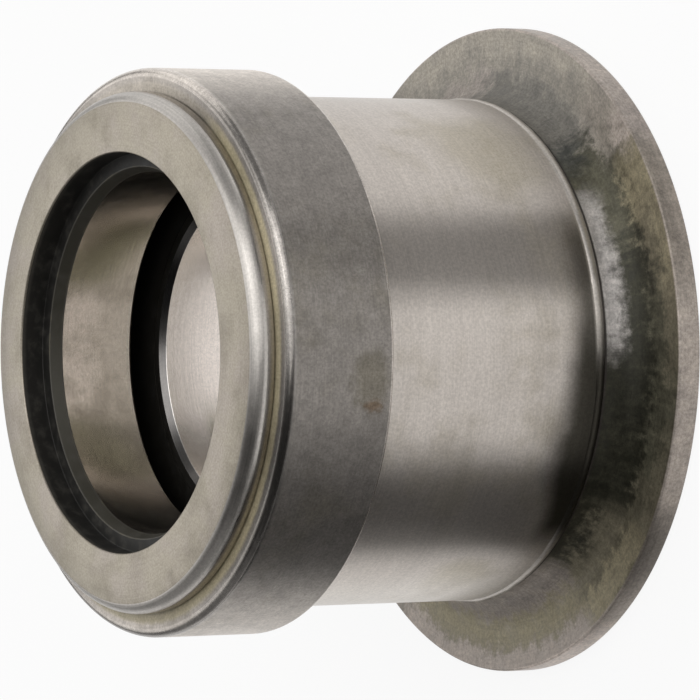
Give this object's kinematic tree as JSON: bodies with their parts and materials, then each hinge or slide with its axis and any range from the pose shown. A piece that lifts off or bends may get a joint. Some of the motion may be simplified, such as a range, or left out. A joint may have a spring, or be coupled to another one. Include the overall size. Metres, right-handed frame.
{
  "type": "clutch release bearing",
  "caption": "Push-type clutch release bearing: a sliding sleeve with a fork flange and a self-centring ball bearing, whose turning nose ring presses on the clutch.",
  "frame": {"origin": "centre of the rear face of the fork flange, which the part stands on", "axes": "+Z along the guide bore, from the fork flange to the contact face"},
  "size_m": [0.1066, 0.1066, 0.076],
  "materials": {
    "flange_steel": "turned steel with heat tint from the weld",
    "sleeve_steel": "bright satin turned steel",
    "bush_lining": "smooth bright bearing lining",
    "cap_steel": "satin dark grey drawn sheet",
    "contact_steel": "fine ground steel",
    "bearing_steel": "ground bearing steel",
    "ball_steel": "polished bearing steel",
    "seal_rubber": "matte black rubber",
    "shield_steel": "stamped sheet",
    "washer_steel": "phosphated steel",
    "spring_steel": "blued spring steel",
    "cage_plastic": "moulded plastic"
  },
  "bodies": {
    "sleeve_unit": {"fork_flange": "flange_steel", "sliding_sleeve": "sleeve_steel", "front_guide_bush": "bush_lining", "rear_guide_bush": "bush_lining", "bearing_cap": "cap_steel", "wave_spring": "spring_steel"},
    "centring_washer": {"friction_washer": "washer_steel"},
    "floating_bearing": {"outer_ring": "bearing_steel", "front_seal": "seal_rubber", "rear_shield": "shield_steel"},
    "turning_ring": {"contact_ring": "contact_steel"},
    "cage_and_balls": {"ball_cage": "cage_plastic", "ball_01": "ball_steel", "ball_02": "ball_steel", "ball_03": "ball_steel", "ball_04": "ball_steel", "ball_05": "ball_steel", "ball_06": "ball_steel", "ball_07": "ball_steel", "ball_08": "ball_steel", "ball_09": "ball_steel", "ball_10": "ball_steel", "ball_11": "ball_steel", "ball_12": "ball_steel", "ball_13": "ball_steel", "ball_14": "ball_steel", "ball_15": "ball_steel", "ball_16": "ball_steel", "ball_17": "ball_steel", "ball_18": "ball_steel", "ball_19": "ball_steel", "ball_20": "ball_steel", "ball_21": "ball_steel", "ball_22": "ball_steel"}
  },
  "joints": [
    {"name": "float_x", "type": "slide", "parent": "sleeve_unit", "child": "centring_washer", "axis": [1, 0, 0], "range_m": [-0.0005, 0.0005]},
    {"name": "float_y", "type": "slide", "parent": "centring_washer", "child": "floating_bearing", "axis": [0, 1, 0], "range_m": [-0.0005, 0.0005]},
    {"name": "contact_ring_spin", "type": "hinge", "parent": "floating_bearing", "child": "turning_ring", "pos_m": [0, 0, 0.0641], "axis": [0, 0, 1], "continuous": true},
    {"name": "cage_spin", "type": "hinge", "parent": "floating_bearing", "child": "cage_and_balls", "pos_m": [0, 0, 0.0641], "axis": [0, 0, 1], "continuous": true}
  ],
  "couplings": [
    {"joint": "cage_spin", "follows": "contact_ring_spin", "ratio": 0.455}
  ]
}
